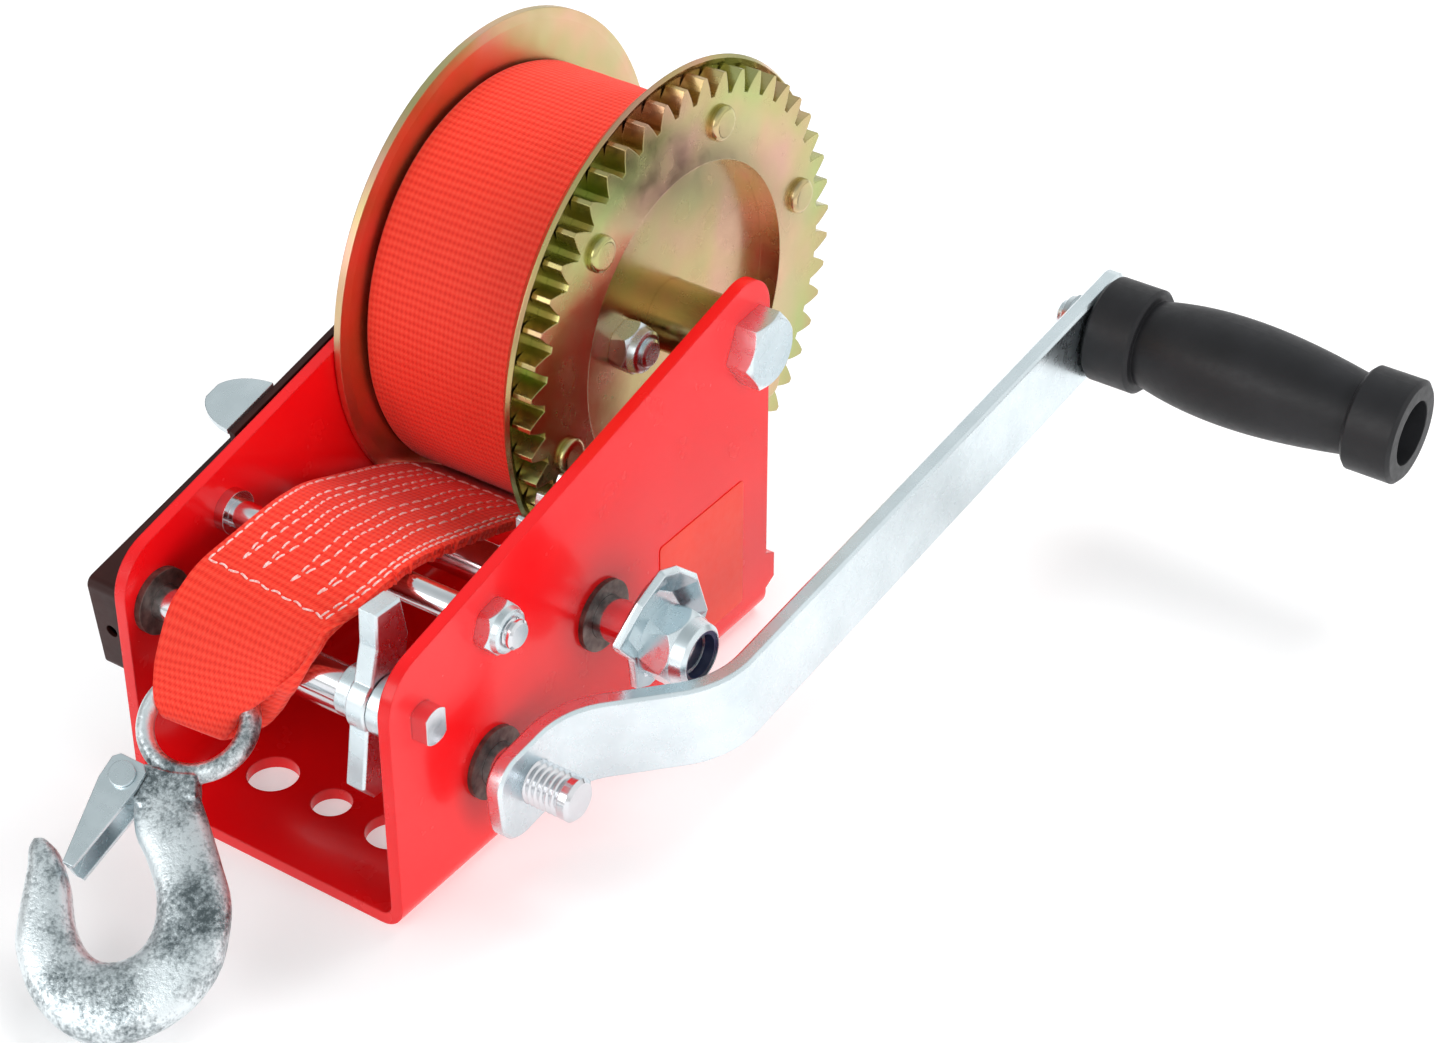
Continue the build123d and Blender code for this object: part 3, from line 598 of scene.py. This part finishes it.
STITCH = 3.1
STITCH_RISE = 0.28
STITCH_DIP = 0.12
THREAD_R = 0.27
THREAD_FLATTEN = 1.25
THREAD_SIDES = 6
THREAD_STATIONS = 5
# The sewn patch: ends in stations of OUTER_LAYER, sizes in millimetres.
SEWN_FRONT = FRONT_STITCH - 0.12
SEWN_REAR = 2.75
SEWN_LENGTH = 104.0
SEWN_WIDTH = 43.0
# Rows in shares of the strap's width: edge rows, and pairs as (centre, half spread).
EDGE_SHARES = (0.035, 0.925, 0.962)
PAIRS = ((0.20, 0.034), (0.36, 0.036), (0.575, 0.04), (0.765, 0.036))
PAIR_OPENING = 0.14
EDGE_GAP = 1.0
PAIR_GAP = 1.7
END_GAP = 0.7


def outer_surface():
    """Function giving a point just above the sewn layer from (share across, station)."""
    left, right, crown = strap_rows(OUTER_LAYER)
    normals = strap_normals(left, right)
    last = len(left) - 1

    def at(share, station, lift):
        place = min(max(station * ROW_STEP, 0.0), last - 0.001)
        row = int(place)
        t = place - row
        a = left[row] * (1 - t) + left[row + 1] * t
        b = right[row] * (1 - t) + right[row + 1] * t
        height = crown[row] * math.sin(math.pi * share) + STRAP_T / 2 + lift
        return a + (b - a) * share + normals[row] * height

    return at


def thread_tube(points, verts, faces):
    """One stitch: a closed, slightly flattened tube that dips into the webbing at both ends."""
    base = len(verts)
    for index, point in enumerate(points):
        ahead = points[min(index + 1, len(points) - 1)]
        behind = points[max(index - 1, 0)]
        along = unit(ahead - behind)
        side = unit(np.cross(along, (0.0, 0.0, 1.0)))
        up = np.cross(side, along)
        for corner in range(THREAD_SIDES):
            angle = 2 * math.pi * corner / THREAD_SIDES
            offset = side * math.cos(angle) * THREAD_R * THREAD_FLATTEN + up * math.sin(angle) * THREAD_R
            verts.append((point + offset) * MM)
    tube = grid_faces(len(points), THREAD_SIDES, close_columns=True) + end_caps(len(points), THREAD_SIDES)
    faces += [tuple(base + corner for corner in face) for face in tube]


def sew(at, line, length, gap, verts, faces):
    """Sew dashes along line(t), t from 0 to 1, which returns (share, station)."""
    count = max(1, int(length / (STITCH + gap)))
    for stitch in range(count):
        start = stitch / count
        stop = start + STITCH / (STITCH + gap) / count
        points = []
        for index in range(THREAD_STATIONS):
            t = index / (THREAD_STATIONS - 1)
            share, station = line(start + (stop - start) * t)
            lift = STITCH_RISE * math.sin(math.pi * t) - STITCH_DIP
            points.append(at(share, station, lift))
        thread_tube(points, verts, faces)


def edge_line(share):
    """Straight row along the strap."""
    return lambda t: (share, SEWN_FRONT + (SEWN_REAR - SEWN_FRONT) * t)


def pair_line(centre, spread):
    """Wavering row that starts at its pair's shared point and opens out to its own side."""
    def line(t):
        opening = min(1.0, t / PAIR_OPENING)
        wobble = 0.006 * math.sin(21 * t + 9 * centre)
        station = SEWN_FRONT - 0.42 + (SEWN_REAR - SEWN_FRONT + 0.6) * t
        return centre + spread * opening + wobble, station

    return line


def end_line(station):
    """Wavering row across the strap."""
    reach = EDGE_SHARES[-1] - EDGE_SHARES[0]
    return lambda t: (EDGE_SHARES[0] + reach * t, station + 0.03 * math.sin(40 * t))


def stitching():
    """Rows across both ends, three rows at the edges and four pairs of rows between them."""
    at = outer_surface()
    verts = []
    faces = []
    for share in EDGE_SHARES:
        sew(at, edge_line(share), SEWN_LENGTH, EDGE_GAP, verts, faces)
    for centre, spread in PAIRS:
        for side in (-spread, spread):
            sew(at, pair_line(centre, side), SEWN_LENGTH - 8, PAIR_GAP, verts, faces)
    for station in (SEWN_FRONT, SEWN_REAR):
        sew(at, end_line(station), SEWN_WIDTH, END_GAP, verts, faces)
    sewn = mesh_object("strap_stitching", verts, faces, MATERIALS["thread"])
    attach(sewn, "frame")
    return sewn


# ---------------------------------------------------------------- strap roll on the drum

ROLL_R = 60.5
ROLL_CORE = 32.0
ROLL_LEFT = -36.5
ROLL_RIGHT = 13.5
ROLL_LAYERS = 24
ROLL_SEGMENTS = 288
ROLL_COLUMNS = 24
ROLL_SAG = 5.5
ROLL_SAG_AT = math.radians(52)


def roll_profile():
    """Closed outline (x, radius): rounded layer edges down both sides."""
    step = (ROLL_R - ROLL_CORE) / ROLL_LAYERS
    left = []
    right = []
    for layer in range(ROLL_LAYERS):
        base = ROLL_CORE + layer * step
        wander = 0.22 * math.sin(5.1 * layer) + 0.12 * math.sin(2.3 * layer + 1)
        left_x = ROLL_LEFT + 0.36 + wander
        right_x = ROLL_RIGHT - 0.36 + wander
        for inwards, up in ((0.5, 0.02), (0.08, 0.3 * step), (0.08, 0.7 * step), (0.5, 0.98 * step)):
            left.append((left_x + inwards, base + up))
            right.append((right_x - inwards, base + up))
    top = []
    for x in np.linspace(left[-1][0] + 0.6, right[-1][0] - 0.6, ROLL_COLUMNS):
        top.append((x, ROLL_R - 0.05 * math.cos(0.6 * x)))
    return left + top + right[::-1]


def roll_reach(x, radius, angle):
    """The roll's radius at an angle: faint swells, and a flatter side up towards the back."""
    outward = (radius - ROLL_CORE) / (ROLL_R - ROLL_CORE)
    swell = 0.12 * math.sin(3 * angle) + 0.06 * math.sin(11 * angle + x * 0.1)
    sag = ROLL_SAG * max(0.0, math.cos(angle - ROLL_SAG_AT)) ** 1.5
    return max(radius - 0.2 + (swell - sag) * outward, ROLL_CORE)


def wrap_weave(roll, uvs):
    """Weave map of the roll, carried across the seam where the angle starts again."""
    layer = roll.data.uv_layers.new(name="Weave")
    turn = 2 * math.pi * ROLL_R
    for polygon in roll.data.polygons:
        arcs = [uvs[vertex][1] for vertex in polygon.vertices]
        spans_seam = max(arcs) - min(arcs) > turn / 2
        for loop in polygon.loop_indices:
            u, v = uvs[roll.data.loops[loop].vertex_index]
            if spans_seam and v < turn / 2:
                v += turn
            layer.data[loop].uv = (u * MM, v * MM)


def strap_roll():
    """The wound webbing, which turns with the drum."""
    profile = roll_profile()
    points = []
    uvs = []
    for x, radius in profile:
        for segment in range(ROLL_SEGMENTS):
            angle = 2 * math.pi * segment / ROLL_SEGMENTS
            reach = roll_reach(x, radius, angle) * MM
            points.append((x * MM, DRUM_Y + reach * math.cos(angle), DRUM_Z + reach * math.sin(angle)))
            uvs.append((x + radius, angle * ROLL_R))
    faces = grid_faces(len(profile), ROLL_SEGMENTS, close_rows=True, close_columns=True)
    roll = mesh_object("webbing_roll", points, faces, MATERIALS["webbing"])
    wrap_weave(roll, uvs)
    recalculate(roll)
    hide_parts("strap_roll")
    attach(roll, "drum")
    return roll


# ---------------------------------------------------------------- hook

# Hook in its own plane: distance from the ring's centre along the shank, then towards the point's side.
OUTER_EDGE = [
    (15.4, -3.6), (18.6, -5.2), (25.9, -9.7), (34.6, -14.7), (43.3, -19.3), (52.3, -20.9), (60.8, -20.7),
    (69.1, -17.4), (75.8, -11.8), (80.8, -4.5), (82.9, 2.4), (82.5, 10.0), (78.6, 18.1), (72.5, 24.5),
    (63.6, 29.8), (57.2, 31.2), (51.3, 31.8), (44.0, 32.4), (38.5, 33.5), (35.6, 33.2),
]
INNER_EDGE = [
    (15.6, 5.0), (20.5, 10.6), (30.2, 8.4), (37.0, 3.6), (44.2, -0.6), (50.2, -2.3), (54.8, -2.3),
    (58.4, -1.1), (60.7, 0.8), (62.4, 3.4), (63.2, 6.4), (62.8, 9.4), (61.2, 12.2), (58.6, 14.8),
    (54.8, 17.3), (50.5, 19.1), (46.5, 20.6), (41.5, 23.5), (37.4, 26.6), (34.9, 30.4),
]
HALF_THICK = [
    2.6, 3.4, 4.4, 4.9, 5.4, 5.7, 5.8, 5.8, 5.8, 5.8, 5.8, 5.7, 5.6, 5.5, 5.3, 5.1, 4.8, 4.4, 3.6, 2.0,
]
SECTION_POINTS = 36
SECTION_POWER = 2.5
HOOK_ROWS = 120
INNER_RIM = 0.07
RING_OUTER_R = 15.9
RING_FLAT = 2.35
RING_TALL = 2.7
RING_SEGMENTS = 96
RING_SIDES = 20
EYE_R = 13.0
LATCH_PIVOT = (17.6, 13.6)
LUG_R = 5.0
LUG_T = 3.8
LUG_BEVEL = 0.8
LUG_SIDES = 40
WEB_HALF = 3.6
# Size of the forging's remeshing cells, in metres.
VOXEL = 0.00045


def hook_frame():
    """Axes of the hook's plane from its joints: the bar, the shank direction and the point side."""
    bar = Vector(JOINTS["hook_swing"]["pos_m"])
    pivot = Vector(JOINTS["latch_open"]["pos_m"])
    normal = Vector(JOINTS["latch_open"]["axis"]).normalized()
    tilt = math.atan2(LATCH_PIVOT[1], EYE_R + LATCH_PIVOT[0])
    shank = Matrix.Rotation(-tilt, 3, normal) @ (pivot - bar).normalized()
    across = normal.cross(shank)
    eye = bar + shank * EYE_R * MM
    return np.array(eye), np.array(shank), np.array(across), np.array(normal)


def in_hook(point, axes):
    eye, shank, across, normal = axes
    return eye + (shank * point[0] + across * point[1] + normal * point[2]) * MM


def superellipse(angle, power):
    c = math.cos(angle)
    s = math.sin(angle)
    return (math.copysign(abs(c) ** (2 / power), c), math.copysign(abs(s) ** (2 / power), s))


def swept_hook(axes):
    """Shank, bowl and point as one closed skin of rounded sections."""
    outer = catmull(OUTER_EDGE, HOOK_ROWS)
    inner = catmull(INNER_EDGE, HOOK_ROWS)
    thick = catmull([[value] for value in HALF_THICK], HOOK_ROWS)[:, 0]
    points = []
    for row in range(HOOK_ROWS):
        middle = (outer[row] + inner[row]) / 2
        half = (outer[row] - inner[row]) / 2
        for index in range(SECTION_POINTS):
            angle = 2 * math.pi * index / SECTION_POINTS
            across, up = superellipse(angle, SECTION_POWER)
            flat = middle + half * across
            rim = 1.0 + INNER_RIM * max(0.0, -across) ** 2
            points.append(in_hook((flat[0], flat[1], up * thick[row] * rim), axes))
    faces = grid_faces(HOOK_ROWS, SECTION_POINTS, close_columns=True)
    return points, faces + end_caps(HOOK_ROWS, SECTION_POINTS)


def swept_ring(axes):
    """Ring of the hook, a little heavier on its right side."""
    points = []
    for segment in range(RING_SEGMENTS):
        angle = 2 * math.pi * segment / RING_SEGMENTS
        heavy = 0.5 - 0.5 * math.sin(angle)
        flat = RING_FLAT + 0.5 * heavy
        tall = RING_TALL + 0.3 * heavy
        for side in range(RING_SIDES):
            turn = 2 * math.pi * side / RING_SIDES
            radius = RING_OUTER_R - flat + flat * math.cos(turn)
            place = (radius * math.cos(angle), radius * math.sin(angle), tall * math.sin(turn))
            points.append(in_hook(place, axes))
    return points, grid_faces(RING_SEGMENTS, RING_SIDES, close_rows=True, close_columns=True)


def lug(axes):
    """Disc that carries the latch rivet, with its bevelled faces."""
    face_r = LUG_R - LUG_BEVEL
    side_t = LUG_T - LUG_BEVEL
    rings = [(face_r, -LUG_T), (LUG_R, -side_t), (LUG_R, side_t), (face_r, LUG_T)]
    points = []
    for radius, height in rings:
        for side in range(LUG_SIDES):
            angle = 2 * math.pi * side / LUG_SIDES
            along = LATCH_PIVOT[0] + radius * math.cos(angle)
            across = LATCH_PIVOT[1] + radius * math.sin(angle)
            points.append(in_hook((along, across, height), axes))
    faces = grid_faces(len(rings), LUG_SIDES, close_columns=True)
    return points, faces + end_caps(len(rings), LUG_SIDES)


def web_of_hook(axes):
    """Short block that fills the corner between ring, shank and lug."""
    corners = [(14.2, -3.8), (20.0, -5.2), (24.0, 9.0), (19.0, 14.0), (13.2, 9.4), (14.6, 3.0)]
    points = [in_hook((a, b, height), axes) for height in (-WEB_HALF, WEB_HALF) for a, b in corners]
    faces = grid_faces(2, len(corners), close_columns=True)
    return points, faces + end_caps(2, len(corners))


def forged_hook():
    """Hook and ring, fused and smoothed into one forging."""
    axes = hook_frame()
    points = []
    faces = []
    for make in (swept_hook, swept_ring, lug, web_of_hook):
        more_points, more_faces = make(axes)
        base = len(points)
        points += more_points
        faces += [tuple(base + corner for corner in face) for face in more_faces]
    hook = mesh_object("forged_hook", points, faces, MATERIALS["forged_zinc"])
    recalculate(hook)
    merge = hook.modifiers.new("Forge", "REMESH")
    merge.mode = "VOXEL"
    merge.voxel_size = VOXEL
    merge.use_smooth_shade = True
    soften = hook.modifiers.new("Soften", "SMOOTH")
    soften.factor = 0.5
    soften.iterations = 9
    applied(hook)
    hook.data.polygons.foreach_set("use_smooth", [True] * len(hook.data.polygons))
    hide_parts("hook_body")
    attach(hook, "hook")
    return hook


# ---------------------------------------------------------------- pressed wing plate

HIGH_SHAFT = tuple(value / MM for value in JOINTS["high_shaft_spin"]["pos_m"][1:])
# Corners from the shaft's axis: y, z and, for the rim, how far it stands out from the seat.
WING_RIM = [
    (-20.5, 10.6, 2.4), (-13.0, 20.0, 4.6), (-5.2, 25.6, 6.0), (0.4, 23.4, 6.2), (8.4, 16.0, 6.2),
    (15.0, 1.6, 4.6), (16.5, -5.4, 2.0), (9.0, -8.5, 0.0), (-0.2, -12.1, 0.0), (-4.6, -12.4, 0.0),
    (-9.9, -10.0, 0.0), (-11.4, 0.2, 0.4), (-18.2, 8.0, 1.6),
]
WING_FLOOR = [
    (-13.6, 8.4), (-9.4, 13.2), (-4.0, 16.4), (0.2, 15.6), (5.6, 11.6),
    (11.0, 1.4), (11.0, -4.4), (6.6, -6.8), (0.2, -9.2), (-3.2, -9.6),
    (-6.6, -8.0), (-8.4, 0.0), (-12.4, 6.6),
]
WING_SEAT_X = 62.5
WING_T = 2.3
WING_EDGE = 0.45
WING_BORE_R = 5.6


def on_wing(x, y, z):
    """Place in metres of a point given from the high-speed shaft's axis."""
    return (x * MM, (HIGH_SHAFT[0] + y) * MM, (HIGH_SHAFT[1] + z) * MM)


def press_wing(plate):
    """Give the plate its thickness, with a rim in the bright plain zinc beside the sloped faces' painted shade,
    and soften its edges.
    """
    solid = plate.modifiers.new("Plate", "SOLIDIFY")
    solid.thickness = WING_T * MM
    solid.offset = -1.0
    solid.use_even_offset = True
    solid.material_offset_rim = 1
    edge = plate.modifiers.new("Edges", "BEVEL")
    edge.width = WING_EDGE * MM
    edge.segments = 2
    edge.limit_method = "ANGLE"
    edge.angle_limit = math.radians(24)
    applied(plate)


def wing_plate():
    """Pressed plate with a flat seat and an upper wing turned outwards in three facets."""
    points = [on_wing(WING_SEAT_X + rise, y, z) for y, z, rise in WING_RIM]
    points += [on_wing(WING_SEAT_X, y, z) for y, z in WING_FLOOR]
    for y, z in WING_FLOOR:
        scale = WING_BORE_R / math.hypot(y, z)
        points.append(on_wing(WING_SEAT_X, y * scale, z * scale))
    faces = grid_faces(3, len(WING_RIM), close_columns=True)
    plate = mesh_object("pressed_wing_plate", points, faces, MATERIALS["wing_zinc_painted_shade"], smooth=False)
    # The wing's sloped faces keep the darker zinc, a painted shade; the seat and the rim take the plain zinc.
    plate.data.materials.append(MATERIALS["zinc_plate"])
    for face in list(plate.data.polygons)[len(WING_RIM):]:
        face.material_index = 1
    recalculate(plate)
    if plate.data.polygons[len(WING_RIM)].normal.x < 0:
        plate.data.flip_normals()
    press_wing(plate)
    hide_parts("wing_plate")
    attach(plate, "high_speed_shaft")
    return plate


# ---------------------------------------------------------------- floor, light and camera

FLOOR_HALF = 3.0
FLOOR_GLOW = 0.42


def make_floor():
    """Plain pale paper."""
    points = [(-FLOOR_HALF, -FLOOR_HALF, 0), (FLOOR_HALF, -FLOOR_HALF, 0),
              (FLOOR_HALF, FLOOR_HALF, 0), (-FLOOR_HALF, FLOOR_HALF, 0)]
    material, tree, shader = start_material(
        "floor_paper", Roughness=0.85, Specular_IOR_Level=0.15, Emission_Strength=FLOOR_GLOW)
    shader.inputs["Emission Color"].default_value = (1.0, 1.0, 1.0, 1.0)
    tint = noise(tree, object_place(tree), scale=3.0, detail=2.0)
    greys = [(0.3, (0.66, 0.66, 0.665)), (0.7, (0.68, 0.68, 0.685))]
    set_color(tree, shader, ramp(tree, tint, greys))
    floor = mesh_object("floor", points, [(0, 1, 2, 3)], material, smooth=False)
    return floor


SKY_STOPS = [
    (0.0, (0.70, 0.70, 0.70)), (0.3, (1.05, 1.05, 1.05)), (0.62, (0.86, 0.89, 0.90)),
    (0.86, (0.56, 0.60, 0.61)), (1.0, (0.46, 0.49, 0.50)),
]
# Directions, by their x, between which the sky goes from dark to bright.
DARK_SIDE = (-0.88, -0.60)
DARK_SIDE_SHARE = 0.22
SKY_IN_MIRRORS = 1.0
SKY_ON_SURFACES = 0.40
LIT_PLACE = (0.03, 0.02, 0.07)


def make_world():
    """Studio: bright walls, a greyer ceiling and a dark left side, which the metal mirrors."""
    world = bpy.data.worlds.new("studio")
    bpy.context.scene.world = world
    world.use_nodes = True
    tree = world.node_tree
    way = add_node(tree, "ShaderNodeTexCoord").outputs["Generated"]
    split = add_node(tree, "ShaderNodeSeparateXYZ", {0: way})
    height_color = ramp(tree, split.outputs["Z"], SKY_STOPS)
    leftward = map_range(tree, split.outputs["X"], *DARK_SIDE, DARK_SIDE_SHARE, 1.0)
    sky = add_node(tree, "ShaderNodeVectorMath", {0: height_color, "Scale": leftward}, operation="SCALE")
    diffuse = add_node(tree, "ShaderNodeLightPath").outputs["Is Diffuse Ray"]
    strength = map_range(tree, diffuse, 0.0, 1.0, SKY_IN_MIRRORS, SKY_ON_SURFACES)
    background = tree.nodes["Background"]
    tree.links.new(sky.outputs["Vector"], background.inputs["Color"])
    tree.links.new(strength, background.inputs["Strength"])
    return world


def area_light(name, place, size, power, mirrored=True):
    """Soft box aimed at the winch; unless mirrored, it doesn't show in shiny surfaces."""
    lamp = bpy.data.lights.new(name, "AREA")
    lamp.shape = "RECTANGLE"
    lamp.size = size[0]
    lamp.size_y = size[1]
    lamp.energy = power
    holder = bpy.data.objects.new(name, lamp)
    holder.location = place
    holder.rotation_mode = "QUATERNION"
    holder.rotation_quaternion = (Vector(LIT_PLACE) - Vector(place)).to_track_quat("-Z", "Y")
    holder.visible_glossy = mirrored
    bpy.context.scene.collection.objects.link(holder)
    return holder


def make_lights():
    """Key from behind and above, front light from the hook's side, fill from the crank's side."""
    area_light("key", (-0.1, 0.95, 1.2), size=(1.2, 0.9), power=19.0, mirrored=False)
    area_light("front", (-0.3, -1.3, 0.7), size=(1.1, 0.8), power=8.0)
    area_light("fill", (1.35, -0.25, 0.6), size=(0.9, 0.9), power=12.0, mirrored=False)



CAMERA_PLACE = (0.4446, -0.5169, 0.5513)
CAMERA_AZIMUTH = math.radians(34.26)
CAMERA_ELEVATION = math.radians(35.55)
CAMERA_ROLL = math.radians(0.30)
CAMERA_LENS = 80.24
SENSOR = 36.0


def make_camera():
    """Camera solved from the photograph."""
    data = bpy.data.cameras.new("camera")
    data.lens = CAMERA_LENS
    data.sensor_width = SENSOR
    data.sensor_fit = "HORIZONTAL"
    data.clip_start = 0.02
    data.clip_end = 20.0
    camera = bpy.data.objects.new("camera", data)
    right = Vector((math.cos(CAMERA_AZIMUTH), math.sin(CAMERA_AZIMUTH), 0.0))
    lean = math.cos(CAMERA_ELEVATION)
    back = Vector((math.sin(CAMERA_AZIMUTH) * lean,
                   -math.cos(CAMERA_AZIMUTH) * lean,
                   math.sin(CAMERA_ELEVATION)))
    up = back.cross(right)
    rolled_right = right * math.cos(CAMERA_ROLL) + up * math.sin(CAMERA_ROLL)
    rolled_up = up * math.cos(CAMERA_ROLL) - right * math.sin(CAMERA_ROLL)
    turn = Matrix((rolled_right, rolled_up, back)).transposed()
    camera.matrix_world = Matrix.Translation(CAMERA_PLACE) @ turn.to_4x4()
    bpy.context.scene.collection.objects.link(camera)
    bpy.context.scene.camera = camera
    return camera


dress_cad_nodes()
strap_tail()
stitching()
strap_roll()
forged_hook()
wing_plate()
make_floor()
make_world()
make_lights()
make_camera()
bpy.context.scene.view_settings.view_transform = "Standard"
bpy.context.scene.cycles.use_denoising = True
